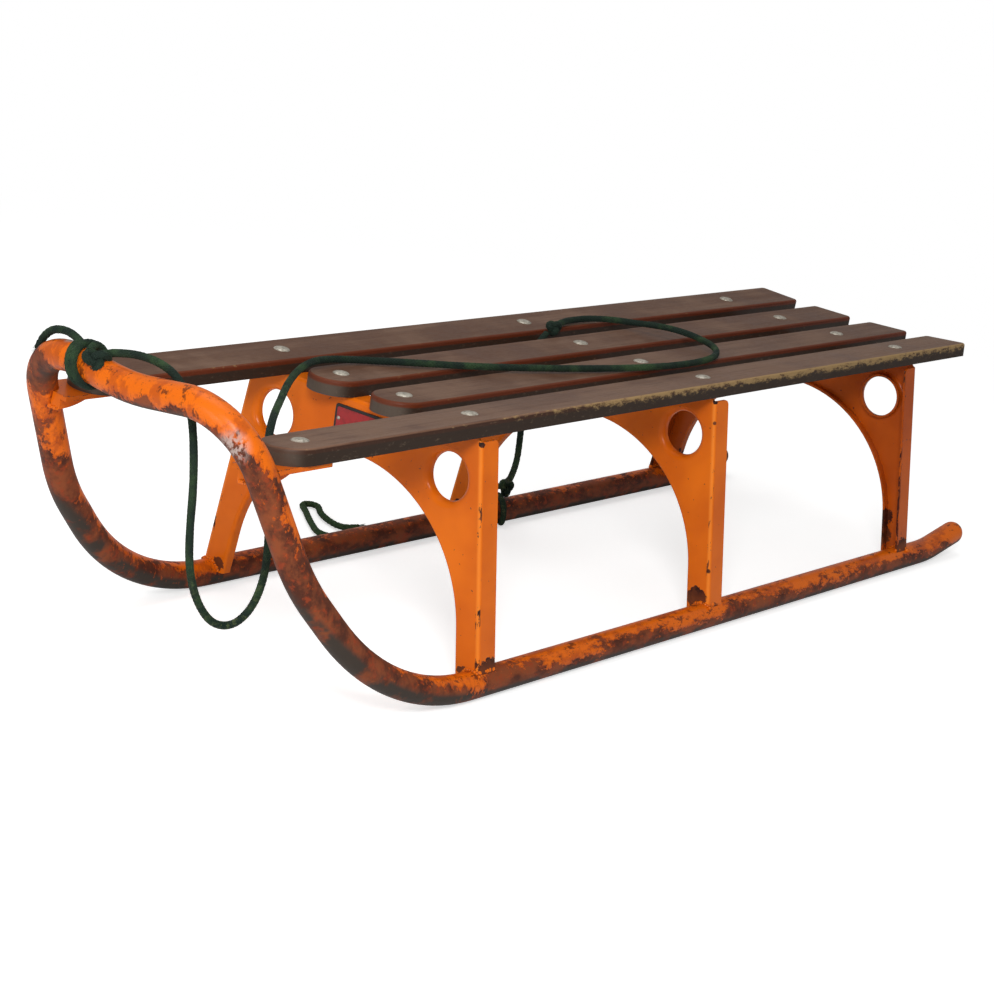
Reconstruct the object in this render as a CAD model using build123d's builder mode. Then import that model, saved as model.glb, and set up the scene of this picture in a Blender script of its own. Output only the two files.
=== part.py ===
from build123d import *
from math import atan2, cos, degrees, pi, radians, sin, tan
import os

os.makedirs("parts", exist_ok=True)

# Snow sled: two tubular steel runners that rise into a hooped bow at the front, three pressed
# sheet bridges standing on the runners, four flat boards bolted along them as a dished seat,
# and a limp rope that is tied to the bow, to the middle bridge and to one runner.
# Front towards -Y, the rider's left towards +X, ground at z = 0, origin under the middle of
# the sled. All sizes are in millimetres.

# Overall
overall_length = 1140.0
nose_y = -overall_length / 2
tail_y = overall_length / 2
seat_gap = 0.3  # what a piece lies off the round tube or the board that carries it

# Tube of the runners and the bow
tube_d = 25.0
tube_r = tube_d / 2
runner_x = 158.5  # from the middle of the sled to each runner's centre
tail_lift = 11.0  # degrees that the tail points up
tail_run = 58.5  # straight tail behind its bend
tail_bend_r = 150.0

# Dished seat that the boards lie on: two gentle facets each side of the middle
seat_mid_z = 217.0
seat_inner_tilt = 1.2
seat_outer_tilt = 4.0
seat_fold_x = 73.5

# Bow, as the corners of its centreline on the +X side
ground_corner_back = 180.0  # behind the nose
knee_x = 138.0
knee_back = 78.0
knee_z = 128.0
shoulder_x = 115.3
shoulder_rise = 50.5  # corner of the shoulder above the middle of the seat
shoulder_z = seat_mid_z + shoulder_rise
crossing_sag = 13.2
dip_z = shoulder_z - crossing_sag
ground_bend_r = 222.0
knee_bend_r = 190.0
shoulder_bend_r = 57.5
dip_bend_r = 200.0
seam_margin = 11.0  # from the end of the ground bend to the seam with the runner

# Seat boards
slat_w = 50.0
slat_t = 14.0
slat_edge_r = 2.5
slat_corner_r = 5.0
slat_overhang = 20.0  # ends of the boards ahead of the runners' tails
slat_end_y = tail_y - slat_overhang
slat_inner_x = 37.0
slat_outer_x = 110.0
slat_inner_tip = 29.5  # nose of an inner board ahead of the front bolt row
slat_outer_tip = 33.0  # nose of an outer board ahead of the tab's bolt
bolt_hole_d = 8.4

# Bridges of pressed sheet
sheet_t = 2.5
front_row_lead = 0.3  # front bolt row behind the seam, so that the foot covers the seam
rear_row_back = 134.5  # rear bolt row ahead of the tails
middle_row_lead = 10.0  # middle bolt row ahead of halfway between the others
row_rear_y = tail_y - rear_row_back
bolt_setback = 9.3  # from the web's face to the bolt row
flange_depth = 22.0
arch_flange_depth = 10.0
bend_r = 3.0
leg_splay = 9.3  # degrees
leg_top_x = 132.8
leg_foot_z = 16.0
leg_w = 26.5
arch_z = 34.0
flange_corner_r = 5.0
corner_notch_r = 4.5

# Rolled rim of the round hole in each upper corner of a bridge
hole_x = 101.5
hole_z = 179.0
hole_r = 21.0
rim_roll_r = 6.0
rim_wall = 2.5  # straight collar behind the roll

# Tabs under the noses of the outer boards
tab_bolt_back = 89.0  # tab's bolt behind the nose of the bow
tab_bolt_y = nose_y + tab_bolt_back
tab_x = 113.0
tab_w = 38.0
tab_t = 4.0
tab_tail = 18.0  # behind its bolt
tab_keel = 9.0  # gusset below the plate, at the riser
tab_keel_run = 34.0
tab_keel_w = 24.0

# Rope
rope_d = 6.5
rope_r = rope_d / 2
bend_share = 0.45  # part of the shorter run that an arc takes up on each side of its corner


def seat_z(x):
    """Height of the dished seat at a distance x from the middle."""
    inner = min(abs(x), seat_fold_x)
    outer = max(abs(x) - seat_fold_x, 0)
    return seat_mid_z + inner * tan(radians(seat_inner_tilt)) + outer * tan(radians(seat_outer_tilt))


def slat_plane(x):
    """Plane of a board's underside, its y along the sled."""
    tilt = seat_outer_tilt if abs(x) > seat_fold_x else seat_inner_tilt
    slope = radians(tilt) * (1 if x > 0 else -1)
    return Plane(origin=(x, 0, seat_z(x)), x_dir=(cos(slope), 0, sin(slope)), z_dir=(-sin(slope), 0, cos(slope)))


# Bow
crossing_y = nose_y + tube_r
knee = Vector(knee_x, nose_y + knee_back, knee_z)
shoulder = Vector(shoulder_x, crossing_y, shoulder_z)
ground_corner = Vector(runner_x, nose_y + ground_corner_back, tube_r)
ground_turn = radians((knee - ground_corner).get_angle(Vector(0, -1, 0)))
seam_y = ground_corner.Y + ground_bend_r * tan(ground_turn / 2) + seam_margin
row_front_y = seam_y + front_row_lead
row_middle_y = (row_front_y + row_rear_y) / 2 - middle_row_lead
half_bow = [Vector(runner_x, seam_y, tube_r), ground_corner, knee, shoulder]
other_half = [Vector(-p.X, p.Y, p.Z) for p in reversed(half_bow)]
bow_line = half_bow + [Vector(0, crossing_y, dip_z)] + other_half
half_radii = [ground_bend_r, knee_bend_r, shoulder_bend_r]
bow_radii = half_radii + [dip_bend_r] + half_radii[::-1]

with BuildPart() as bow:
    with BuildLine() as bow_path:
        FilletPolyline(*bow_line, radius=bow_radii)
    with BuildSketch(Plane(origin=bow_line[0], z_dir=(0, -1, 0))):
        Circle(tube_r)
    sweep(path=bow_path.line)
bow.part.label = "bow"
export_step(bow.part, "parts/bow.step")

# Runners, which carry the bow's tube on to the upturned tail with its domed end
tail_centre_y = tail_y - tube_r
tail_tip = Vector(runner_x, tail_centre_y, tube_r + tail_run * tan(radians(tail_lift)))
runner_line = [Vector(runner_x, seam_y, tube_r), Vector(runner_x, tail_centre_y - tail_run, tube_r), tail_tip]

with BuildPart() as runner_left:
    with BuildLine() as runner_path:
        FilletPolyline(*runner_line, radius=tail_bend_r)
    with BuildSketch(Plane(origin=runner_line[0], z_dir=(0, 1, 0))):
        Circle(tube_r)
    sweep(path=runner_path.line)
    with Locations(tail_tip):
        Sphere(tube_r)
runner_left.part.label = "runner_left"
export_step(runner_left.part, "parts/runner_left.step")

with BuildPart() as runner_right:
    mirror(runner_left.part, about=Plane.YZ)
runner_right.part.label = "runner_right"
export_step(runner_right.part, "parts/runner_right.step")

# Bridges: half of each is made and mirrored
leg_slope = tan(radians(leg_splay))
leg_foot_x = leg_top_x + (seat_z(leg_top_x) - leg_foot_z) * leg_slope
leg_top_z = seat_z(leg_top_x)
flange_top_x = leg_top_x - corner_notch_r
side_top_z = leg_top_z - corner_notch_r
foot_clear_z = tube_d + seat_gap  # above it, no edge of a leg meets the runner


def leg_outer_x(z):
    """Outer edge of a bridge's leg at the height z."""
    return leg_foot_x - (z - leg_foot_z) * leg_slope


arch_r = leg_outer_x(arch_z) * cos(radians(leg_splay)) - leg_w

def arch_face(radius, mode):
    """Half of the arch: a round crown that runs on into the leg's straight inner edge."""
    splay = radians(leg_splay)
    spring = (radius * cos(splay), arch_z + radius * sin(splay))
    foot = (spring[0] + (spring[1] - leg_foot_z) * leg_slope, leg_foot_z)
    with BuildLine() as outline:
        CenterArc((0, arch_z), radius, leg_splay, 90 - leg_splay)
        Line(spring, foot)
        Polyline(foot, (0, leg_foot_z), (0, arch_z + radius))
    make_face(outline.edges(), mode=mode)


bridge_table = [
    # name, bolt row, way that the flanges point
    ("front_bridge", row_front_y, 1),
    ("middle_bridge", row_middle_y, 1),
    ("rear_bridge", row_rear_y, -1),
]
for name, row_y, way in bridge_table:
    web_y = row_y - way * bolt_setback
    web_plane = Plane.XZ.offset(-web_y)
    roll_edge = hole_r + rim_roll_r
    roll_mid = rim_roll_r * sin(pi / 4)
    back_r = rim_roll_r - sheet_t
    back_mid = back_r * sin(pi / 4)
    collar_end = rim_roll_r + rim_wall
    with BuildPart() as bridge:
        with BuildSketch(web_plane):
            with BuildLine():
                Polyline(
                    (0, leg_foot_z),
                    (leg_foot_x, leg_foot_z),
                    (leg_top_x, leg_top_z),
                    (seat_fold_x, seat_z(seat_fold_x)),
                    (0, seat_mid_z),
                    close=True,
                )
            make_face()
            arch_face(arch_r, Mode.SUBTRACT)
            with Locations((leg_top_x, leg_top_z)):
                Circle(corner_notch_r, mode=Mode.SUBTRACT)
        extrude(amount=-way * sheet_t)
        # top flange under the boards
        with BuildSketch(web_plane):
            with BuildLine():
                Polyline(
                    (0, seat_mid_z),
                    (seat_fold_x, seat_z(seat_fold_x)),
                    (flange_top_x, seat_z(flange_top_x)),
                    (flange_top_x, seat_z(flange_top_x) - sheet_t),
                    (seat_fold_x, seat_z(seat_fold_x) - sheet_t),
                    (0, seat_mid_z - sheet_t),
                    close=True,
                )
            make_face()
        extrude(amount=-way * flange_depth)
        # side flange down the leg
        with BuildSketch(web_plane):
            with BuildLine():
                Polyline(
                    (leg_foot_x, leg_foot_z),
                    (leg_outer_x(side_top_z), side_top_z),
                    (leg_outer_x(side_top_z) - sheet_t, side_top_z),
                    (leg_foot_x - sheet_t, leg_foot_z),
                    close=True,
                )
            make_face()
        extrude(amount=-way * flange_depth)
        flange_corner = (leg_outer_x(side_top_z), web_y + way * flange_depth, side_top_z)
        fillet(bridge.edges().filter_by(Axis.X).sort_by_distance(flange_corner)[0], flange_corner_r)
        # narrow flange round the arch
        with BuildSketch(web_plane):
            arch_face(arch_r + sheet_t, Mode.ADD)
            arch_face(arch_r, Mode.SUBTRACT)
        extrude(amount=-way * arch_flange_depth)
        # foot cut to fit over the runner
        with BuildSketch(Plane.XZ):
            with Locations((runner_x, tube_r)):
                Circle(tube_r + seat_gap)
        extrude(amount=overall_length, both=True, mode=Mode.SUBTRACT)
        # rounded bends along the web
        web_face = bridge.faces().filter_by(Axis.Y).sort_by(Axis.Y)[0 if way > 0 else -1]
        bends = web_face.outer_wire().edges().filter_by(
            lambda e: e.center().Z > foot_clear_z and e.center().X > 1 and e.length > 2 * corner_notch_r
        )
        fillet(bends, bend_r)
        # rolled rim of the corner hole
        with BuildSketch(web_plane):
            with Locations((hole_x, hole_z)):
                Circle(roll_edge)
        extrude(amount=-way * sheet_t, mode=Mode.SUBTRACT)
        with BuildSketch(Plane((hole_x, web_y, hole_z))):
            with BuildLine():
                ThreePointArc(
                    (roll_edge, 0),
                    (roll_edge - roll_mid, way * (rim_roll_r - roll_mid)),
                    (hole_r, way * rim_roll_r),
                )
                Polyline(
                    (hole_r, way * rim_roll_r),
                    (hole_r, way * collar_end),
                    (hole_r + sheet_t, way * collar_end),
                    (hole_r + sheet_t, way * rim_roll_r),
                )
                ThreePointArc(
                    (hole_r + sheet_t, way * rim_roll_r),
                    (roll_edge - back_mid, way * (rim_roll_r - back_mid)),
                    (roll_edge, way * sheet_t),
                )
                Line((roll_edge, way * sheet_t), (roll_edge, 0))
            make_face()
        revolve(axis=Axis((hole_x, 0, hole_z), (0, 1, 0)))
        for slat_x in (slat_inner_x, slat_outer_x):
            with BuildSketch(slat_plane(slat_x)):
                with Locations((0, row_y)):
                    Circle(bolt_hole_d / 2)
            extrude(amount=-2 * sheet_t, mode=Mode.SUBTRACT)
        mirror(about=Plane.YZ)
    bridge.part.label = name
    export_step(bridge.part, f"parts/{name}.step")

# Seat boards with round noses
slat_table = [
    # name, middle of the board, foremost bolt, nose ahead of that bolt
    ("slat_right_outer", -slat_outer_x, tab_bolt_y, slat_outer_tip),
    ("slat_right_inner", -slat_inner_x, row_front_y, slat_inner_tip),
    ("slat_left_inner", slat_inner_x, row_front_y, slat_inner_tip),
    ("slat_left_outer", slat_outer_x, tab_bolt_y, slat_outer_tip),
]
for name, slat_x, first_bolt_y, tip in slat_table:
    nose_round_y = first_bolt_y - tip + slat_w / 2
    bolt_rows = sorted({first_bolt_y, row_front_y, row_middle_y, row_rear_y})
    with BuildPart() as slat:
        with BuildSketch(slat_plane(slat_x)):
            with Locations((0, (nose_round_y + slat_end_y) / 2)):
                board = Rectangle(slat_w, slat_end_y - nose_round_y)
            fillet(board.vertices().group_by(Axis.Y)[-1], slat_corner_r)
            with Locations((0, nose_round_y)):
                Circle(slat_w / 2)
        extrude(amount=slat_t)
        fillet(slat.faces().sort_by(Axis.Z)[-1].edges(), slat_edge_r)
        with BuildSketch(slat_plane(slat_x)):
            with Locations(*[(0, row_y) for row_y in bolt_rows]):
                Circle(bolt_hole_d / 2)
        extrude(amount=slat_t, mode=Mode.SUBTRACT)
    slat.part.label = name
    export_step(slat.part, f"parts/{name}.step")

# Tabs: a plate under each outer board's nose with a gusset below it, cut to fit the riser
rise = shoulder - knee
tab_front_y = knee.Y + rise.Y * (seat_z(slat_outer_x) - knee_z) / rise.Z
tab_back_y = tab_bolt_y + tab_tail
keel_top_z = seat_z(tab_x) - tab_t

with BuildPart() as tab_left:
    with BuildSketch(slat_plane(slat_outer_x)):
        with Locations((tab_x - slat_outer_x, (tab_front_y + tab_back_y) / 2)):
            plate = Rectangle(tab_w, tab_back_y - tab_front_y)
        fillet(plate.vertices().group_by(Axis.Y)[-1], slat_corner_r)
    extrude(amount=-tab_t)
    with BuildSketch(slat_plane(slat_outer_x)):
        with Locations((0, tab_bolt_y)):
            Circle(bolt_hole_d / 2)
    extrude(amount=-tab_t, mode=Mode.SUBTRACT)
    with BuildSketch(Plane.YZ.offset(tab_x - tab_keel_w / 2)):
        with BuildLine():
            Polyline(
                (tab_front_y + tab_keel_run, keel_top_z),
                (tab_front_y, keel_top_z),
                (tab_front_y, keel_top_z - tab_keel),
            )
            TangentArc(
                (tab_front_y, keel_top_z - tab_keel),
                (tab_front_y + tab_keel_run, keel_top_z),
                tangent=(1, 0),
            )
        make_face()
    extrude(amount=tab_keel_w)
    with Locations(Plane(origin=knee, z_dir=rise)):
        Cylinder(tube_r + seat_gap, rise.length, align=(Align.CENTER, Align.CENTER, Align.MIN), mode=Mode.SUBTRACT)
tab_left.part.label = "tab_left"
export_step(tab_left.part, "parts/tab_left.step")

with BuildPart() as tab_right:
    mirror(tab_left.part, about=Plane.YZ)
tab_right.part.label = "tab_right"
export_step(tab_right.part, "parts/tab_right.step")

# Rope: four stretches of one limp rope, each from knot to knot or out to a frayed end
rope_table = {
    # free end that stands over the bow's far corner
    "rope_bow_end": [
        (-52, -562, 276),
        (-64, -559, 279.5),
        (-79, -557, 280.5),
        (-94, -555, 277.5),
        (-106, -552, 270.5),
        (-115, -548, 263.5),
        (-122.5, -544.5, 255),
    ],
    # from the bow's knot behind the crossing, down in a loop, up to the seat and round on it
    "rope_haul": [
        (-27, -555, 275),
        (-14, -548, 278),
        (8, -541, 277),
        (30, -538, 270),
        (46, -538, 252),
        (55, -539, 226),
        (61, -540, 192),
        (60, -538, 158),
        (59, -533, 124),
        (63, -525, 97),
        (67, -510, 77),
        (72, -491, 73),
        (75, -474, 86),
        (77, -466, 112),
        (78, -468, 145),
        (77, -473, 182),
        (78, -483, 211),
        (70, -473, 235),
        (45, -443, 236),
        (10, -400, 233),
        (-22, -360, 233),
        (-44, -326, 236),
        (-56, -297, 239),
        (-60, -268, 238),
        (-54, -238, 236),
        (-31, -196, 236),
        (0, -146, 236),
        (31, -76, 236),
        (56, -2, 236),
        (71, 50, 237),
        (77, 92, 238),
        (74, 128, 238),
        (62, 162, 237),
        (45, 185, 238),
        (23, 194, 240),
        (-3, 195, 242),
        (-29, 190, 242),
        (-54, 180, 240),
        (-77, 167, 239),
        (-90, 146, 238),
        (-90, 120, 238),
        (-84, 97, 239),
        (-76.5, 78, 238.5),
    ],
    # from the seat's knot down before the middle bridge and back through its arch
    "rope_drop": [
        (-74, 62, 233),
        (-75, 51, 224),
        (-75, 46, 208),
        (-75, 45, 180),
        (-76, 45, 150),
        (-75, 46, 124),
        (-79, 52, 104),
        (-89, 63, 88),
        (-104, 80, 74),
        (-124, 105, 61),
        (-143, 130, 53),
        (-155, 144, 46),
    ],
    # from the runner's knot along the ground, out in a sharp bight and back
    "rope_ground_end": [
        (-165, 150, 37),
        (-180, 146, 31),
        (-188, 134, 16),
        (-188, 114, 5),
        (-184, 86, 4),
        (-185, 48, 4),
        (-182, 8, 4),
        (-180, -32, 4),
        (-183, -67, 4),
        (-195, -80, 4),
        (-212, -82, 4),
        (-231, -69, 4),
        (-250, -55, 4),
        (-267, -41, 4),
        (-277, -34, 4),
        (-283, -30, 4),
        (-286, -24.5, 4),
        (-284.5, -18.5, 4),
        (-278.5, -15.5, 4),
        (-272, -17, 4),
        (-266, -22, 4),
        (-257, -30, 4),
        (-243, -38, 4),
        (-224, -45, 4),
        (-207, -47, 5),
        (-194, -41, 9),
    ],
}


def corner_radii(points):
    """Radius of the arc at each inner point of a route, as large as its two runs allow."""
    radii = []
    for before, here, after in zip(points, points[1:], points[2:]):
        turn = radians((here - before).get_angle(after - here))
        shorter = min((here - before).length, (after - here).length)
        radii.append(bend_share * shorter / tan(turn / 2))
    return radii


rope_lines = {name: [Vector(*p) for p in route] for name, route in rope_table.items()}
for name, points in rope_lines.items():
    radii = corner_radii(points)
    with BuildPart() as rope:
        with BuildLine() as rope_path:
            FilletPolyline(*points, radius=radii)
        with BuildSketch(Plane(origin=points[0], z_dir=points[1] - points[0])):
            Circle(rope_r)
        sweep(path=rope_path.line)
    rope.part.label = name
    export_step(rope.part, f"parts/{name}.step")
    rope_length = rope_path.wires()[0].length
    fullness = rope.part.volume / (pi * rope_r**2 * rope_length)
    print(name, "length", round(rope_length, 1), "volume over section x length", round(fullness, 4))
    print("    bend radii", [round(r, 1) for r in radii])

# Knots: lumps of rope, hollowed where the rope's stretches and the steel pass through them
wrap_slack = 0.3
wrap_r = tube_r + seat_gap + wrap_slack + rope_r
bow_wrap_x = -60.0
bow_wrap_z = dip_z + (shoulder_z - dip_z) * abs(bow_wrap_x) / shoulder_x
bow_wrap_lean = 17.0  # degrees that the turn round the crossing leans, its top outwards
bow_wrap_start = 230.0  # from the bottom, where the turn leaves the knot before the crossing
bow_wrap_sweep = 250.0
crossing_slope = degrees(atan2(shoulder_z - dip_z, shoulder_x))
runner_wrap_y = 149.0
wrap_cut_z = 5.0  # the turn round the runner goes no lower, because the runner stands on the ground

# Each lump as its centre and its radius
bow_knot_lumps = [((-43, -561, 272), 10.0), ((-32, -562, 273.5), 8.8), ((-52, -563, 271.5), 7.0)]
seat_knot_lumps = [((-74, 70, 229.5), 10.0), ((-75, 70, 236), 9.5)]
runner_knot_lumps = [((-158, 149, 32), 9.5), ((-159, 148, 41), 8.5)]


def cut_rope_ends(*ends):
    """Sockets for the stretches of rope that enter a knot."""
    for start, towards in ends:
        with Locations(Plane(origin=start, z_dir=towards - start)):
            Cylinder(rope_r + seat_gap, 6 * rope_d, align=(Align.CENTER, Align.CENTER, Align.MIN), mode=Mode.SUBTRACT)


free_end = rope_lines["rope_bow_end"]
haul = rope_lines["rope_haul"]
drop = rope_lines["rope_drop"]
ground_end = rope_lines["rope_ground_end"]
crossing_at_wrap = Plane((bow_wrap_x, crossing_y, bow_wrap_z)).rotated((0, 90 + crossing_slope, 0))
bow_wrap_r = (tube_r + seat_gap + wrap_slack) / cos(radians(bow_wrap_lean)) + rope_r

with BuildPart() as bow_wrap:
    with BuildLine(crossing_at_wrap.rotated((0, -bow_wrap_lean, 0))) as wrap_path:
        CenterArc((0, 0), bow_wrap_r, bow_wrap_start, bow_wrap_sweep)
    with BuildSketch(Plane(origin=wrap_path.wires()[0] @ 0, z_dir=wrap_path.wires()[0] % 0)):
        Circle(rope_r)
    sweep(path=wrap_path.wires()[0])
bow_wrap.part.label = "bow_wrap"
export_step(bow_wrap.part, "parts/bow_wrap.step")

with BuildPart() as bow_knot:
    for centre, radius in bow_knot_lumps:
        with Locations(centre):
            Sphere(radius)
    with Locations(crossing_at_wrap):
        Cylinder(tube_r + seat_gap, 12 * rope_d, mode=Mode.SUBTRACT)
    cut_rope_ends((free_end[0], free_end[1]), (haul[0], haul[1]))
bow_knot.part.label = "bow_knot"
export_step(bow_knot.part, "parts/bow_knot.step")

with BuildPart() as seat_knot:
    for centre, radius in seat_knot_lumps:
        with Locations(centre):
            Sphere(radius)
    cut_rope_ends((haul[-1], haul[-2]), (drop[0], drop[1]))
seat_knot.part.label = "seat_knot"
export_step(seat_knot.part, "parts/seat_knot.step")

with BuildPart() as runner_knot:
    for centre, radius in runner_knot_lumps:
        with Locations(centre):
            Sphere(radius)
    with Locations(Plane((-runner_x, runner_wrap_y, tube_r), z_dir=(0, 1, 0))):
        Torus(wrap_r, rope_r)
        Cylinder(tube_r + seat_gap, 12 * rope_d, mode=Mode.SUBTRACT)
    with Locations((-runner_x, runner_wrap_y, wrap_cut_z)):
        Box(8 * rope_d, 8 * rope_d, 8 * rope_d, align=(Align.CENTER, Align.CENTER, Align.MAX), mode=Mode.SUBTRACT)
    cut_rope_ends((drop[-1], drop[-2]), (ground_end[0], ground_end[1]))
runner_knot.part.label = "runner_knot"
export_step(runner_knot.part, "parts/runner_knot.step")

for knot in (bow_knot, seat_knot, runner_knot):
    print(knot.part.label, "solids", [round(solid.volume) for solid in knot.part.solids()])
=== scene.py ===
import math
import random

import bmesh
import bpy
from mathutils import Matrix, Vector


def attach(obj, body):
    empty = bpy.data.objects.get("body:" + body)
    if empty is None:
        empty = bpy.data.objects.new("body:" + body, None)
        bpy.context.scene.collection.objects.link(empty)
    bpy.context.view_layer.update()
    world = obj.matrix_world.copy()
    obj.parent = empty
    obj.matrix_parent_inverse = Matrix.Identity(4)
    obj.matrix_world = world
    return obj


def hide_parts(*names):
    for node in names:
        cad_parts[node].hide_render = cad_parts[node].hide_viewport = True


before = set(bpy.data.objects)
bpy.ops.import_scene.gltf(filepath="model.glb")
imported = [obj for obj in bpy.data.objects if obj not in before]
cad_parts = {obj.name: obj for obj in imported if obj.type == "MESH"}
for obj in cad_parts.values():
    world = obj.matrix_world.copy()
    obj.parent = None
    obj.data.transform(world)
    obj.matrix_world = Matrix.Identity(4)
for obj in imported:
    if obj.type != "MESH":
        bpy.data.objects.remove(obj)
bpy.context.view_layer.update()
mm = 0.001
rnd = random.Random(7)
print("frame loaded", len(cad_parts), "nodes")


# Helpers

def hexColour(text):
    # sRGB hex to the linear colour that the shaders want
    channels = [int(text[i:i + 2], 16) / 255 for i in (1, 3, 5)]
    linear = [c / 12.92 if c <= 0.04045 else ((c + 0.055) / 1.055) ** 2.4 for c in channels]
    return (*linear, 1.0)


def addNode(tree, kind, inputs=None, **settings):
    # one node; an input is a value, or a socket to link from
    node = tree.nodes.new(kind)
    for name, value in settings.items():
        setattr(node, name, value)
    for key, value in (inputs or {}).items():
        if isinstance(value, bpy.types.NodeSocket):
            tree.links.new(value, node.inputs[key])
        else:
            node.inputs[key].default_value = value
    return node


def startMaterial(name):
    mat = bpy.data.materials.new(name)
    mat.use_nodes = True
    tree = mat.node_tree
    tree.nodes.clear()
    coords = addNode(tree, "ShaderNodeTexCoord")
    return mat, tree, coords


def noise(tree, coords, sizeMm, detail=4.0, roughness=0.55, stretch=(1, 1, 1), offset=(0, 0, 0)):
    # noise whose blobs are about sizeMm across, out to 0..1
    place = addNode(tree, "ShaderNodeMapping", {0: coords.outputs["Object"], 1: offset, 3: stretch})
    node = addNode(tree, "ShaderNodeTexNoise", {
        "Vector": place.outputs[0], "Scale": 1 / (sizeMm * mm),
        "Detail": detail, "Roughness": roughness,
    })
    return node.outputs["Fac"]


def ramp(tree, source, low, high, lowValue=0.0, highValue=1.0):
    node = addNode(tree, "ShaderNodeMapRange", {
        "Value": source, "From Min": low, "From Max": high,
        "To Min": lowValue, "To Max": highValue,
    }, interpolation_type="SMOOTHSTEP")
    return node.outputs[0]


def combine(tree, first, second, operation="MULTIPLY", clamp=True):
    node = addNode(tree, "ShaderNodeMath", {0: first, 1: second}, operation=operation, use_clamp=clamp)
    return node.outputs[0]


def blendColour(tree, factor, first, second):
    node = addNode(tree, "ShaderNodeMix", data_type="RGBA")
    for socket, value in ((node.inputs[0], factor), (node.inputs[6], first), (node.inputs[7], second)):
        if isinstance(value, bpy.types.NodeSocket):
            tree.links.new(value, socket)
        else:
            socket.default_value = value
    return node.outputs[2]


def height(tree, source, depthMm, below=None):
    inputs = {"Height": source, "Distance": depthMm * mm, "Strength": 1.0}
    if below is not None:
        inputs["Normal"] = below
    return addNode(tree, "ShaderNodeBump", inputs).outputs[0]


def closeMaterial(tree, colour, rough, normal=None, metallic=0.0, **values):
    inputs = {"Base Color": colour, "Roughness": rough, "Metallic": metallic}
    inputs.update(values)
    if normal is not None:
        inputs["Normal"] = normal
    shader = addNode(tree, "ShaderNodeBsdfPrincipled", inputs)
    addNode(tree, "ShaderNodeOutputMaterial", {"Surface": shader.outputs[0]})


def splitHeight(tree, coords):
    return addNode(tree, "ShaderNodeSeparateXYZ", {0: coords.outputs["Object"]}).outputs


def nearPlace(tree, coords, place, innerMm, outerMm):
    # 1 close to a place given in millimetres, fading to 0
    gap = addNode(tree, "ShaderNodeVectorMath", {0: coords.outputs["Object"], 1: [c * mm for c in place]},
                  operation="DISTANCE").outputs["Value"]
    return ramp(tree, gap, outerMm * mm, innerMm * mm)


def edgeMask(tree, radiusMm):
    # 1 along sharp bends and rims, 0 on flats
    round_ = addNode(tree, "ShaderNodeBevel", {"Radius": radiusMm * mm}, samples=6)
    flat = addNode(tree, "ShaderNodeNewGeometry")
    dot = addNode(tree, "ShaderNodeVectorMath", {0: round_.outputs[0], 1: flat.outputs["Normal"]},
                  operation="DOT_PRODUCT").outputs["Value"]
    return ramp(tree, dot, 0.995, 0.86)


def ridePiece(name, data, material):
    # a mesh or curve as an object that rides with the sled
    data.materials.append(material)
    obj = bpy.data.objects.new(name, data)
    bpy.context.scene.collection.objects.link(obj)
    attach(obj, "root")
    return obj


def meshPiece(name, bm, material, smooth=True):
    mesh = bpy.data.meshes.new(name)
    bm.to_mesh(mesh)
    bm.free()
    if smooth:
        mesh.polygons.foreach_set("use_smooth", [True] * len(mesh.polygons))
    return ridePiece(name, mesh, material)


# Materials

# oil enamel on drawn steel tube, worn off by snow and stones: orange left on the upper side,
# red-brown rust under it, and dark rubbed steel on the side that meets the ground
# the pale colour on bare polished steel is partly a painted highlight, standing for the lamp's reflection
# there
tubePaint = {
    "enamel": "#DE680D", "enamelDeep": "#B9500C", "stain": "#5C2A12",
    "rust": "#854323", "rustRed": "#963A18", "rustDark": "#4C2415", "bare": "#3A312A", "polishedSteelHighlight": "#BCAAA2",
    "patchMm": 55, "flakeMm": 12, "chipMm": 3.4, "gritMm": 1.1,
}


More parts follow.
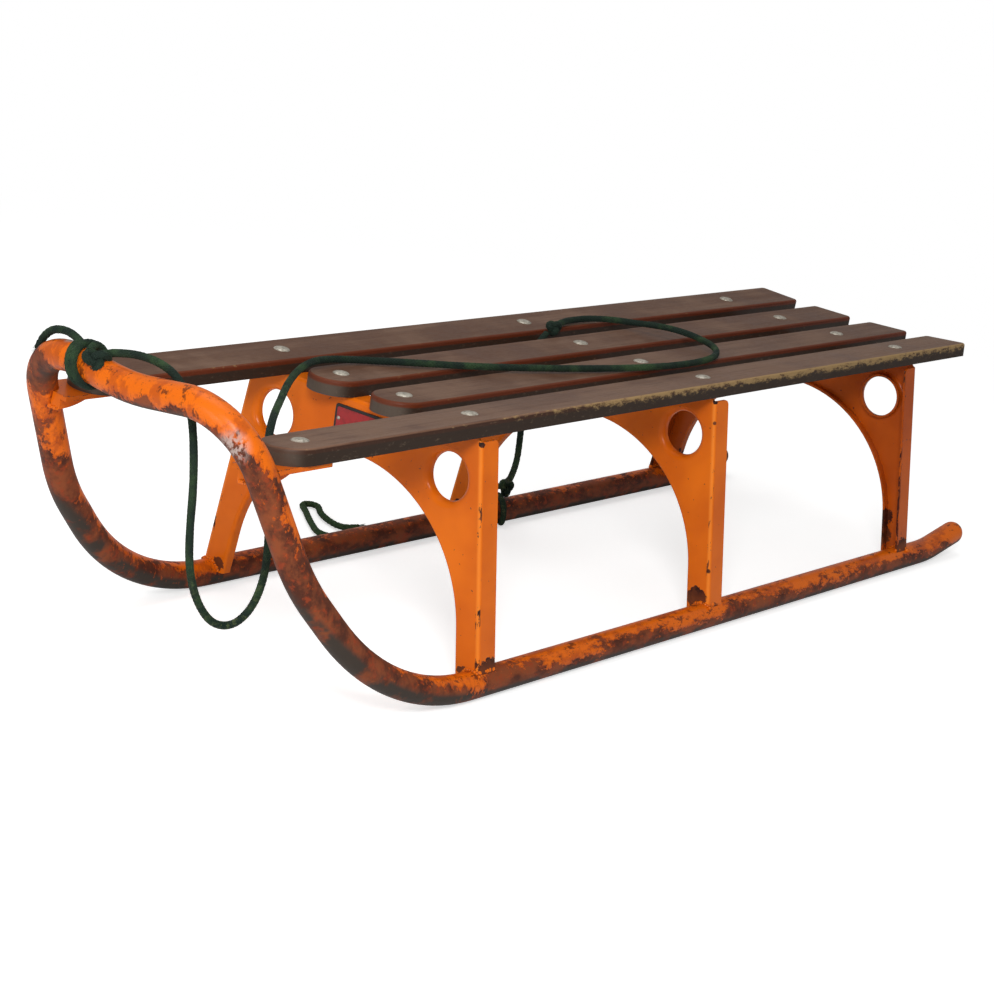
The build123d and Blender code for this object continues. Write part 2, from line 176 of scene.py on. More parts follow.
def makeTubePaint(name, paintEdge, stretch, seed, bareEdge=(-0.05, -0.05), wornSpots=(), keptSpots=(),
                  polishedSteelHighlightSpots=()):
    # paintEdge is how far up a face has to look for its paint to last, from the foot to the top;
    # bareEdge is the same for the rubbed steel, which lies below it
    mat, tree, coords = startMaterial(name)
    z = splitHeight(tree, coords)[2]
    geometry = addNode(tree, "ShaderNodeNewGeometry")
    up = addNode(tree, "ShaderNodeSeparateXYZ", {0: geometry.outputs["Normal"]}).outputs[2]
    broad = noise(tree, coords, tubePaint["patchMm"], 4, 0.6, stretch=stretch, offset=(seed, 0, 0))
    flakes = noise(tree, coords, tubePaint["flakeMm"], 5, 0.7, stretch=stretch, offset=(0, seed, 0))
    chips = noise(tree, coords, tubePaint["chipMm"], 4, 0.65, stretch=stretch, offset=(0, 0, seed))
    grit = noise(tree, coords, tubePaint["gritMm"], 3, 0.6)
    edge = ramp(tree, z, 0.055, 0.225, paintEdge[0], paintEdge[1])
    keep = combine(tree, combine(tree, up, edge, "SUBTRACT", False), 0.5, "MULTIPLY", False)
    for source, weight in ((broad, 1.7), (flakes, 1.25), (chips, 0.8)):
        part = combine(tree, combine(tree, source, 0.5, "SUBTRACT", False), weight, "MULTIPLY", False)
        keep = combine(tree, keep, part, "ADD", False)
    for spots, weight in ((wornSpots, -0.5), (keptSpots, 0.5)):
        for place, inner, outer in spots:
            part = combine(tree, nearPlace(tree, coords, place, inner, outer), weight, "MULTIPLY", False)
            keep = combine(tree, keep, part, "ADD", False)
    paint = ramp(tree, keep, -0.015, 0.02)
    rustMix = ramp(tree, noise(tree, coords, 19, 5, 0.65, stretch=stretch, offset=(3, seed, 2)), 0.38, 0.62)
    rust = blendColour(tree, rustMix, hexColour(tubePaint["rustDark"]), hexColour(tubePaint["rust"]))
    redMix = ramp(tree, noise(tree, coords, 7, 5, 0.7, offset=(6, 1, seed)), 0.5, 0.66)
    rust = blendColour(tree, combine(tree, redMix, 0.7), rust, hexColour(tubePaint["rustRed"]))
    bareLine = ramp(tree, z, 0.06, 0.15, bareEdge[0], bareEdge[1])
    rubbed = combine(tree, ramp(tree, combine(tree, up, bareLine, "SUBTRACT", False), 0.0, -0.4),
                     ramp(tree, noise(tree, coords, 32, 4, 0.6, offset=(7, 2, 5)), 0.38, 0.52))
    under = blendColour(tree, rubbed, rust, hexColour(tubePaint["bare"]))
    fleck = combine(tree, ramp(tree, chips, 0.6, 0.64), ramp(tree, keep, -0.42, -0.1))
    under = blendColour(tree, combine(tree, fleck, 0.85), under, hexColour(tubePaint["enamelDeep"]))
    orange = blendColour(tree, ramp(tree, keep, 0.0, 0.2), hexColour(tubePaint["enamelDeep"]),
                         hexColour(tubePaint["enamel"]))
    thin = ramp(tree, noise(tree, coords, 22, 5, 0.7, stretch=stretch, offset=(8, seed, 1)), 0.5, 0.6)
    orange = blendColour(tree, combine(tree, thin, 0.5), orange, hexColour(tubePaint["rustRed"]))
    stain = ramp(tree, noise(tree, coords, 9, 5, 0.72, stretch=stretch, offset=(2, 9, seed)), 0.56, 0.63)
    orange = blendColour(tree, combine(tree, stain, 0.85), orange, hexColour(tubePaint["stain"]))
    speck = ramp(tree, grit, 0.63, 0.7)
    orange = blendColour(tree, combine(tree, speck, 0.5), orange, hexColour(tubePaint["stain"]))
    colour = blendColour(tree, paint, under, orange)
    rough = ramp(tree, combine(tree, paint, combine(tree, grit, 0.3), "SUBTRACT"), 0.0, 1.0, 0.5, 0.3)
    # pale painted highlight on bare polished steel, laid in small broken spots
    for place, inner, outer in polishedSteelHighlightSpots:
        polishedSteelHighlight = combine(tree, nearPlace(tree, coords, place, inner, outer),
                        ramp(tree, combine(tree, flakes, chips, "ADD", False), 0.86, 1.02))
        colour = blendColour(tree, combine(tree, polishedSteelHighlight, 0.8), colour, hexColour(tubePaint["polishedSteelHighlight"]))
    normal = height(tree, grit, 0.1)
    normal = height(tree, paint, 0.14, normal)
    closeMaterial(tree, colour, rough, normal, 0.0, **{"Specular IOR Level": 0.2})
    return mat


# stove enamel on pressed sheet, glossy and even, chipped at the bends and rusty at the feet
sheetPaint = {
    # the rear bridge's two enamel colours are darker copies of the front ones: painted shade for the light
    # falling off toward the rear
    "enamel": "#E87210", "enamelShade": "#D2600C", "rearEnamelInShade": "#C45810", "rearMottleInShade": "#AA480D",
    # the light orange is a painted highlight, laid along the bends where the lamp's reflection lies on the
    # rounded fillet
    "bendHighlight": "#FF9C3A", "chip": "#2A1812", "rust": "#733A1C", "deepRust": "#42190E",
    "mottleMm": 70, "chipMm": 5, "bendWidthMm": 1.7,
}
leg = {"outerXAtGround": 168.2, "splay": 9.3}


def makeSheetPaint(name, wear, bendY=None, spots=(), enamel="enamel", enamelShade="enamelShade", bendHighlight=0.45):
    # bendY is where the sheet turns from its web into the side flange, or where the flange ends
    # the last argument sets how strong the painted highlight along the bend is
    mat, tree, coords = startMaterial(name)
    x, y, z = splitHeight(tree, coords)
    mottle = noise(tree, coords, sheetPaint["mottleMm"], 3, 0.5)
    chips = noise(tree, coords, sheetPaint["chipMm"], 5, 0.7)
    broad = noise(tree, coords, 38, 3, 0.5, offset=(2, 8, 1))
    edge = edgeMask(tree, 1.6)
    colour = blendColour(tree, ramp(tree, mottle, 0.3, 0.7), hexColour(sheetPaint[enamelShade]),
                         hexColour(sheetPaint[enamel]))
    both = combine(tree, chips, combine(tree, broad, 0.5), "ADD", False)
    bad = combine(tree, edge, ramp(tree, both, 0.84 - wear, 0.9 - wear))
    pits = noise(tree, coords, 3.6, 2, 0.5, offset=(4, 4, 9))
    pits = ramp(tree, pits, 0.735 - wear * 0.3, 0.75 - wear * 0.3)
    bad = combine(tree, bad, pits, "MAXIMUM")
    if bendY is not None:
        outer = combine(tree, z, -math.tan(math.radians(leg["splay"])), "MULTIPLY", False)
        outer = combine(tree, outer, (leg["outerXAtGround"] - 1.2) * mm, "ADD", False)
        sideways = combine(tree, combine(tree, x, 0.0, "ABSOLUTE", False), outer, "SUBTRACT", False)
        along = combine(tree, y, bendY * mm, "SUBTRACT", False)
        gap = addNode(tree, "ShaderNodeVectorMath", {0: addNode(tree, "ShaderNodeCombineXYZ", {
            "X": sideways, "Y": along}).outputs[0]}, operation="LENGTH").outputs["Value"]
        onBend = ramp(tree, gap, (sheetPaint["bendWidthMm"] + 1.0) * mm, sheetPaint["bendWidthMm"] * mm)
        drips = noise(tree, coords, 7, 4, 0.65, stretch=(1, 1, 0.3), offset=(5, 2, 8))
        lower = ramp(tree, z, 0.17, 0.03, 0.0, 0.1)
        worn = ramp(tree, combine(tree, drips, lower, "ADD", False), 0.63 - wear, 0.66 - wear)
        bad = combine(tree, bad, combine(tree, onBend, worn), "MAXIMUM")
        # painted highlight: the enamel is lightened along the bend where the lamp's reflection falls on the
        # fillet
        paintedBendHighlight = combine(tree, ramp(tree, gap, 2.7 * mm, 0.6 * mm), bendHighlight)
        colour = blendColour(tree, paintedBendHighlight, colour, hexColour(sheetPaint["bendHighlight"]))
    spotSum = chips
    for place, inner, outerMm in spots:
        spot = combine(tree, nearPlace(tree, coords, place, inner, outerMm), 0.5)
        spotSum = combine(tree, spotSum, spot, "ADD", False)
    bad = combine(tree, bad, ramp(tree, spotSum, 0.8, 0.825), "MAXIMUM")
    rustMix = ramp(tree, noise(tree, coords, 9, 4, 0.6, offset=(9, 3, 3)), 0.4, 0.6)
    metal = blendColour(tree, rustMix, hexColour(sheetPaint["chip"]), hexColour(sheetPaint["rust"]))
    metal = blendColour(tree, ramp(tree, mottle, 0.45, 0.6), metal, hexColour(sheetPaint["deepRust"]))
    metal = blendColour(tree, ramp(tree, z, 0.036, 0.026, 0.0, 0.7), metal, hexColour(sheetPaint["rust"]))
    colour = blendColour(tree, bad, colour, metal)
    rough = ramp(tree, bad, 0.0, 1.0, 0.27, 0.6)
    peel = noise(tree, coords, 4.5, 2, 0.5)
    normal = height(tree, peel, 0.03)
    normal = height(tree, bad, -0.12, normal)
    closeMaterial(tree, colour, rough, normal, 0.0, **{"Specular IOR Level": 0.18})
    return mat


# varnished hardwood board, sawn and planed along Y: brown varnish, rubbed pale along its edges, dark sides
boardWood = {
    "top": "#7A5F4E", "topRed": "#5E402F", "grain": "#412B20", "side": "#33271F", "sideWorn": "#6B5B4C",
    "rub": "#A3865A", "redEdge": "#662A12", "nose": "#5A4E44", "grainMm": 2.2,
}
seat = {"midZ": 217.0, "innerTilt": 1.2, "outerTilt": 4.0, "foldX": 73.5, "boardThick": 14.0}


def belowSeat(tree, x, z):
    # how far a point is below the boards' dished top, in metres
    away = combine(tree, x, 0.0, "ABSOLUTE", False)
    inner = combine(tree, away, seat["foldX"] * mm, "MINIMUM", False)
    outer = combine(tree, away, inner, "SUBTRACT", False)
    top = (seat["midZ"] + seat["boardThick"]) * mm
    for part, tilt in ((inner, seat["innerTilt"]), (outer, seat["outerTilt"])):
        rise = combine(tree, part, math.tan(math.radians(tilt)), "MULTIPLY", False)
        top = combine(tree, rise, top, "ADD", False)
    return combine(tree, top, z, "SUBTRACT", False)


def makeBoardWood(name, seed, rub, grey, red):
    mat, tree, coords = startMaterial(name)
    x, y, z = splitHeight(tree, coords)
    geometry = addNode(tree, "ShaderNodeNewGeometry")
    ny, up = addNode(tree, "ShaderNodeSeparateXYZ", {0: geometry.outputs["Normal"]}).outputs[1:]
    grain = noise(tree, coords, boardWood["grainMm"], 5, 0.6, (1, 0.03, 1), (seed, seed * 2, 0))
    bands = noise(tree, coords, 11, 3, 0.5, stretch=(1, 0.04, 1), offset=(seed * 3, 1, 0))
    cloud = noise(tree, coords, 70, 4, 0.6, offset=(seed, 0, 5))
    scuff = noise(tree, coords, 3.2, 5, 0.75, stretch=(1, 0.4, 1), offset=(1, seed, 4))
    mixed = combine(tree, cloud, combine(tree, bands, 0.4), "ADD", False)
    top = blendColour(tree, ramp(tree, mixed, 0.55 - grey, 0.95 - grey),
                      hexColour(boardWood["topRed"]), hexColour(boardWood["top"]))
    streaks = combine(tree, ramp(tree, grain, 0.5, 0.72), 0.4)
    top = blendColour(tree, streaks, top, hexColour(boardWood["grain"]))
    scuffed = combine(tree, ramp(tree, scuff, 0.56, 0.74), 0.7)
    side = blendColour(tree, scuffed, hexColour(boardWood["side"]), hexColour(boardWood["sideWorn"]))
    forward = combine(tree, ramp(tree, ny, -0.3, -0.85), 0.75)
    side = blendColour(tree, forward, side, hexColour(boardWood["nose"]))
    colour = blendColour(tree, ramp(tree, up, 0.35, 0.8), side, top)
    # the worn band takes the round on the board's top edge and a little of its side
    depth = belowSeat(tree, x, z)
    edge = combine(tree, ramp(tree, up, 0.99, 0.95), ramp(tree, depth, 5.2 * mm, 3.4 * mm))
    rearward = ramp(tree, y, -0.45, 0.02, 0.0, rub)
    deeper = combine(tree, depth, 32.0, "MULTIPLY", False)
    rubNoise = combine(tree, scuff, combine(tree, cloud, 0.45), "ADD", False)
    rubNoise = combine(tree, rubNoise, rearward, "ADD", False)
    rubNoise = combine(tree, rubNoise, deeper, "SUBTRACT", False)
    offTop = combine(tree, ramp(tree, up, 0.99, 0.95), ramp(tree, depth, 9 * mm, 6 * mm))
    rubbed = combine(tree, combine(tree, offTop, ramp(tree, rubNoise, 0.8, 1.02)), 0.85)
    redEdge = combine(tree, edge, red)
    colour = blendColour(tree, redEdge, colour, hexColour(boardWood["redEdge"]))
    colour = blendColour(tree, rubbed, colour, hexColour(boardWood["rub"]))
    rough = ramp(tree, combine(tree, cloud, combine(tree, scuff, 0.5), "ADD", False), 0.5, 1.0, 0.36, 0.58)
    normal = height(tree, grain, 0.12)
    normal = height(tree, scuff, 0.05, normal)
    closeMaterial(tree, colour, rough, normal, 0.0, **{"Specular IOR Level": 0.14})
    return mat


# braided polypropylene rope, dyed dark green, matt with a little sheen, dirty where it has lain in the wet
ropeYarn = {"yarn": "#1D2C24", "yarnPale": "#364E30", "dirt": "#111A15", "lichen": "#6F7B4C", "fibreMm": 0.5}


def makeRopeYarn(name, pale):
    mat, tree, coords = startMaterial(name)
    tint = noise(tree, coords, 28, 4, 0.6)
    fibre = noise(tree, coords, ropeYarn["fibreMm"], 2, 0.5)
    soil = noise(tree, coords, 5, 5, 0.75, offset=(3, 3, 3))
    colour = blendColour(tree, ramp(tree, tint, 0.42 - pale, 0.7 - pale), hexColour(ropeYarn["yarn"]),
                         hexColour(ropeYarn["yarnPale"]))
    low = ramp(tree, splitHeight(tree, coords)[2], 0.16, 0.07)
    colour = blendColour(tree, combine(tree, ramp(tree, soil, 0.5, 0.66), combine(tree, low, 0.55)), colour,
                         hexColour(ropeYarn["lichen"]))
    dirty = combine(tree, ramp(tree, fibre, 0.45, 0.6), 0.5)
    colour = blendColour(tree, dirty, colour, hexColour(ropeYarn["dirt"]))
    normal = height(tree, fibre, 0.12)
    closeMaterial(tree, colour, 0.72, normal, 0.0,
                  **{"Specular IOR Level": 0.15, "Sheen Weight": 0.03, "Sheen Roughness": 0.5})
    return mat


# zinc-plated steel, cold headed: dull silver with a yellow-white bloom
zincSteel = {"zinc": "#BDB6A8", "bloom": "#8E877A", "rust": "#6E503A"}


def makeZincSteel(name):
    mat, tree, coords = startMaterial(name)
    bloom = noise(tree, coords, 3, 4, 0.6)
    spots = noise(tree, coords, 1.6, 3, 0.6, offset=(5, 5, 1))
    colour = blendColour(tree, ramp(tree, bloom, 0.4, 0.65), hexColour(zincSteel["zinc"]),
                         hexColour(zincSteel["bloom"]))
    rust = ramp(tree, spots, 0.62, 0.7)
    colour = blendColour(tree, combine(tree, rust, 0.6), colour, hexColour(zincSteel["rust"]))
    normal = height(tree, bloom, 0.06)
    closeMaterial(tree, colour, ramp(tree, bloom, 0.3, 0.7, 0.38, 0.55), normal, 0.35)
    return mat


# pressed tin plate with vitreous red enamel in a dark stamped frame
plateEnamel = {"red": "#9C1F22", "frame": "#211C1B", "soil": "#2A1512", "scratch": "#8A7A70"}


def makePlateEnamel(name, colourHex, rough):
    mat, tree, coords = startMaterial(name)
    cloud = noise(tree, coords, 6, 4, 0.6)
    scratch = noise(tree, coords, 1.2, 4, 0.7, stretch=(0.3, 1, 1))
    soiled = combine(tree, ramp(tree, cloud, 0.45, 0.7), 0.35)
    colour = blendColour(tree, soiled, hexColour(colourHex), hexColour(plateEnamel["soil"]))
    scratched = combine(tree, ramp(tree, scratch, 0.66, 0.72), 0.35)
    colour = blendColour(tree, scratched, colour, hexColour(plateEnamel["scratch"]))
    closeMaterial(tree, colour, rough, height(tree, cloud, 0.04), 0.0)
    return mat


# spots are (place, full out to, gone at), in millimetres
tubeMaterials = {
    "bow": makeTubePaint(
        "EnamelOnSteelTubeBow", (0.6, -0.8), (1, 0.8, 0.6), 1.0, (0.2, -0.5),
        wornSpots=[((-116, -556, 246), 12, 38), ((-98, -560, 262), 8, 27), ((98, -563, 240), 3, 20),
                   ((118, -556, 226), 4, 30), ((128, -530, 190), 14, 50), ((138, -494, 135), 20, 56),
                   ((148, -440, 75), 20, 64), ((62, -567, 250), 3, 16), ((30, -568, 252), 2, 9),
                   ((-138, -500, 140), 8, 40)],
        keptSpots=[((-137, -476, 122), 4, 20), ((134, -505, 184), 3, 15), ((143, -473, 124), 3, 15)],
        # the last spots are painted highlights on bare polished steel
        polishedSteelHighlightSpots=[((114, -558, 239), 4, 17), ((-72, -556, 275), 2, 8)]),
    "runner_left": makeTubePaint("EnamelOnSteelTubeLeft", (0.58, -0.2), (1, 0.5, 1), 4.0,
                                 keptSpots=[((160, 556, 26), 12, 40)]),
    "runner_right": makeTubePaint("EnamelOnSteelTubeRight", (1.2, 0.8), (1, 0.5, 1), 7.0),
}
webY = {"front": -286.8, "middle": 59.7, "rear": 444.8}
sheetBend = {"behindWeb": 1.2, "rearFlangeEdgeY": 423.6}
sheetMaterials = {
    "front_bridge": makeSheetPaint(
        "StoveEnamelSheetFront", 0.0, webY["front"] + sheetBend["behindWeb"],
        [((165, -273, 22), 9, 21), ((147, -287, 22), 2, 8), ((-147, -287, 24), 3, 12),
         ((-120, -283, 40), 6, 20), ((133, -286, 216), 1, 5)]),
    "middle_bridge": makeSheetPaint(
        "StoveEnamelSheetMiddle", 0.0, webY["middle"] + sheetBend["behindWeb"],
        [((150, 60, 29), 8, 15), ((163, 70, 20), 4, 11), ((-150, 60, 30), 5, 14), ((158, 59.7, 58), 1, 4),
         ((133, 60.5, 218), 1, 5), ((136, 60.5, 198), 1, 3)]),
    "rear_bridge": makeSheetPaint(
        "StoveEnamelSheetRear", 0.08, sheetBend["rearFlangeEdgeY"],
        [((163, 434, 24), 8, 21), ((134, 438, 52), 5, 18), ((134, 438, 30), 6, 18), ((-134, 438, 40), 6, 20)],
        # the darker enamel here is painted shade, for the light falling off toward the rear
        "rearEnamelInShade", "rearMottleInShade", 0.0),
    "tab_left": makeSheetPaint("StoveEnamelTabLeft", 0.06),
    "tab_right": makeSheetPaint("StoveEnamelTabRight", 0.06),
}
woodMaterials = {
    "slat_right_outer": makeBoardWood("VarnishedBoardRightOuter", 1.3, -0.06, 0.0, 0.8),
    "slat_right_inner": makeBoardWood("VarnishedBoardRightInner", 2.7, -0.05, 0.0, 0.8),
    "slat_left_inner": makeBoardWood("VarnishedBoardLeftInner", 4.1, -0.03, 0.04, 0.8),
    "slat_left_outer": makeBoardWood("VarnishedBoardLeftOuter", 5.9, 0.31, 0.14, 0.15),
}
ropeMaterial = makeRopeYarn("BraidedPolypropyleneGreen", 0.0)
ropePaleMaterial = makeRopeYarn("BraidedPolypropyleneFaded", 0.24)
zincMaterial = makeZincSteel("ZincPlatedSteel")
plateRedMaterial = makePlateEnamel("VitreousEnamelRed", plateEnamel["red"], 0.3)
plateFrameMaterial = makePlateEnamel("StampedTinDark", plateEnamel["frame"], 0.45)

for nodeName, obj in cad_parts.items():
    if nodeName in tubeMaterials:
        material = tubeMaterials[nodeName]
    elif nodeName in sheetMaterials:
        material = sheetMaterials[nodeName]
    elif nodeName in woodMaterials:
        material = woodMaterials[nodeName]
    else:
        material = ropeMaterial
    if obj.data.materials:
        for i in range(len(obj.data.materials)):
            obj.data.materials[i] = material
    else:
        obj.data.materials.append(material)
print("materials made and given to the frame")


# Ropes: each route is the CAD route's points, in millimetres
ropeBuild = {
    "diameter": 6.5,
    "coreRadius": 2.85,
    "strandRadius": 0.62,
    "strandsEachWay": 7,
    "pitch": 24.0,
    "weave": 0.24,
    "stepsPerTurn": 14,
    "measureStep": 4.0,
    "knotStep": 2.0,
}
routes = {
    "bowEndRope": [
        (-52, -562, 276), (-64, -559, 279.5), (-79, -557, 280.5), (-94, -555, 277.5),
        (-106, -552, 270.5), (-115, -548, 263.5), (-122.5, -544.5, 255),
    ],
    "haulRope": [
        (-27, -555, 275), (-14, -548, 278), (8, -541, 277), (30, -538, 270), (46, -538, 252),
        (55, -539, 226), (61, -540, 192), (60, -538, 158), (59, -533, 124), (63, -525, 97),
        (67, -510, 77), (72, -491, 73), (75, -474, 86), (77, -466, 112), (78, -468, 145),
        (77, -473, 182), (78, -483, 211), (70, -473, 235), (45, -443, 236), (10, -400, 233),
        (-22, -360, 233), (-44, -326, 236), (-56, -297, 239), (-60, -268, 238), (-54, -238, 236),
        (-31, -196, 236), (0, -146, 236), (31, -76, 236), (56, -2, 236), (71, 50, 237),
        (77, 92, 238), (74, 128, 238), (62, 162, 237), (45, 185, 238), (23, 194, 240),
        (-3, 195, 242), (-29, 190, 242), (-54, 180, 240), (-77, 167, 239), (-90, 146, 238),
        (-90, 120, 238), (-84, 97, 239), (-76.5, 78, 238.5),
    ],
    "dropRope": [
        (-74, 62, 233), (-75, 51, 224), (-75, 46, 208), (-75, 45, 180), (-76, 45, 150),
        (-75, 46, 124), (-79, 52, 104), (-89, 63, 88), (-104, 80, 74), (-124, 105, 61),
        (-143, 130, 53), (-155, 144, 46),
    ],
    "groundRope": [
        (-165, 150, 37), (-180, 146, 31), (-188, 134, 16), (-188, 114, 5), (-184, 86, 4),
        (-185, 48, 4), (-182, 8, 4), (-180, -32, 4), (-183, -67, 4), (-195, -80, 4),
        (-212, -82, 4), (-231, -69, 4), (-250, -55, 4), (-267, -41, 4), (-277, -34, 4),
        (-283, -30, 4), (-286, -24.5, 4), (-284.5, -18.5, 4), (-278.5, -15.5, 4), (-272, -17, 4),
        (-266, -22, 4), (-257, -30, 4), (-243, -38, 4), (-224, -45, 4), (-207, -47, 5),
        (-194, -41, 9),
    ],
}


def routeCurve(name, points, closed=False):
    curve = bpy.data.curves.new(name, "CURVE")
    curve.dimensions = "3D"
    curve.resolution_u = 12
    spline = curve.splines.new("NURBS")
    spline.points.add(len(points) - 1)
    for point, place in zip(spline.points, points):
        point.co = (place[0] * mm, place[1] * mm, place[2] * mm, 1)
    spline.order_u = 3
    if closed:
        spline.use_cyclic_u = True
    else:
        spline.use_endpoint_u = True
    return curve


def linePoints(curve):
    # the smooth line that the route's spline draws
    probe = bpy.data.objects.new("probe", curve)
    mesh = bpy.data.meshes.new_from_object(probe)
    points = [v.co.copy() for v in mesh.vertices]
    bpy.data.meshes.remove(mesh)
    bpy.data.objects.remove(probe)
    return points


def evenSteps(points, step, closed=False):
    # the same line cut into even steps, with a length for each point
    line = points + [points[0]] if closed else points
    lengths = [0.0]
    for a, b in zip(line, line[1:]):
        lengths.append(lengths[-1] + (b - a).length)
    count = max(4, round(lengths[-1] / step))
    out = []
    index = 0
    for i in range(count + 1):
        want = lengths[-1] * i / count
        while index < len(line) - 2 and lengths[index + 1] < want:
            index += 1
        span = max(lengths[index + 1] - lengths[index], 1e-9)
        out.append(line[index].lerp(line[index + 1], (want - lengths[index]) / span))
    return out, lengths[-1]


def carriedFrames(points):
    # a side vector at each point that turns no more than the line does
    frames = []
    side = None
    for i, point in enumerate(points):
        ahead = points[min(i + 1, len(points) - 1)] - points[max(i - 1, 0)]
        ahead.normalize()
        if side is None:
            side = ahead.orthogonal().normalized()
        side = (side - ahead * side.dot(ahead)).normalized()
        frames.append((point, side.copy(), ahead.cross(side)))
    return frames


def braid(name, lines, material, settings=ropeBuild):
    # strands wound both ways round each line, over and under each other
    curve = bpy.data.curves.new(name, "CURVE")
    curve.dimensions = "3D"
    curve.bevel_depth = settings["strandRadius"] * mm
    curve.bevel_resolution = 0
    curve.resolution_u = 1
    curve.use_fill_caps = True
    count = settings["strandsEachWay"]
    radius = (settings["coreRadius"] - 0.15) * mm
    for points, closed in lines:
        even, total = evenSteps(points, settings["pitch"] * mm / settings["stepsPerTurn"], closed)
        frames = carriedFrames(even)
        turns = total / (settings["pitch"] * mm)
        for way in (1, -1):
            for strand in range(count):
                spline = curve.splines.new("POLY")
                spline.points.add(len(frames) - 1)
                for i, (centre, side, other) in enumerate(frames):
                    along = i / (len(frames) - 1) * turns
                    angle = 2 * math.pi * (way * along + strand / count)
                    shift = strand * math.pi + (0 if way > 0 else math.pi)
                    over = math.sin(count * 2 * math.pi * along + shift)
                    r = radius + over * settings["weave"] * mm
                    place = centre + (side * math.cos(angle) + other * math.sin(angle)) * r
                    spline.points[i].co = (*place, 1)
    return ridePiece(name, curve, material)


def fray(name, tip, direction, settings, material):
    # loose fibres at an unwhipped end
    curve = bpy.data.curves.new(name, "CURVE")
    curve.dimensions = "3D"
    curve.bevel_depth = settings["fibreRadius"] * mm
    curve.bevel_resolution = 0
    direction = direction.normalized()
    side = direction.orthogonal().normalized()
    other = direction.cross(side)
    for i in range(settings["fibres"]):
        angle = rnd.uniform(0, 2 * math.pi)
        r = rnd.uniform(0.2, 2.4) * mm
        out = side * math.cos(angle) + other * math.sin(angle)
        start = tip + out * r - direction * 2 * mm
        reach = settings["reach"] * rnd.uniform(0.55, 1.0) * mm
        spread = out * reach * rnd.uniform(0.05, settings["spread"])
        spline = curve.splines.new("POLY")
        spline.points.add(3)
        for k in range(4):
            t = k / 3
            place = start + direction * reach * t + spread * t * t
            place.z = max(place.z, 0.0006)
            spline.points[k].co = (*place, 1)
            spline.points[k].radius = 1.0 - 0.5 * t
    return ridePiece(name, curve, material)


def knotLine(centre, size, axes):
    # closed line of an overhand knot pulled tight
    a, b, c = axes
    points = []
    for i in range(24):
        t = 2 * math.pi * i / 24
        u = (math.sin(t) + 2 * math.sin(2 * t)) * size[0]
        v = (math.cos(t) - 2 * math.cos(2 * t)) * size[1]
        w = -math.sin(3 * t) * size[2]
        points.append(Vector(centre) + a * u + b * v + c * w)
    return [tuple(p) for p in points]


ropePieces = {}
for name, points in routes.items():
    curve = routeCurve(name + "Core", points)
    line = linePoints(curve)
    curve.bevel_depth = ropeBuild["coreRadius"] * mm
    curve.bevel_resolution = 3
    curve.use_fill_caps = True
    yarnMaterial = ropePaleMaterial if name == "groundRope" else ropeMaterial
    core = ridePiece(name + "Core", curve, yarnMaterial)
    strands = braid(name + "Braid", [(line, False)], yarnMaterial)
    ropePieces[name] = (core, strands, line)

bowEndFray = {"fibres": 46, "fibreRadius": 0.22, "reach": 9.0, "spread": 0.45}
groundEndFray = {"fibres": 40, "fibreRadius": 0.22, "reach": 10.0, "spread": 0.2}
bowLine = ropePieces["bowEndRope"][2]
bowFray = fray("bowEndFray", bowLine[-1], bowLine[-1] - bowLine[-4], bowEndFray, ropeMaterial)
groundLine = ropePieces["groundRope"][2]
groundFray = fray("groundEndFray", groundLine[-1], groundLine[-1] - groundLine[-4], groundEndFray,
                  ropePaleMaterial)

# Knots: each an overhand knot of the same rope, with the turn that it ties
knots = {
    "bowKnot": {"centre": (-32, -565, 269), "size": (3.2, 2.4, 3.6), "tilt": (74, 0, 37)},
    "seatKnot": {"centre": (-75.5, 74, 237), "size": (1.9, 1.9, 2.9), "tilt": (74, 0, 37)},
    "runnerKnot": {"centre": (-158, 147, 37.5), "size": (1.9, 2.6, 3.2), "tilt": (80, 0, 36)},
}
knotFloor = 3.9  # a rope's middle when it lies on the ground


def ringPoints(centre, radius, lean, start, sweep, count, advance=0.0, around="x"):
    # turns of rope round a tube, drawn on by advance as they go round
    points = []
    for i in range(count):
        t = i / (count - 1)
        angle = math.radians(start + sweep * t)
        down, back = math.cos(angle) * radius, math.sin(angle) * radius
        if around == "x":
            place = (centre[0] + down * math.sin(lean) + advance * t, centre[1] + back,
                     centre[2] - down * math.cos(lean))
        else:
            place = (centre[0] + back, centre[1] + advance * (1 - math.sin(angle)) / 2,
                     max(centre[2] - down, knotFloor))
        points.append(place)
    return points


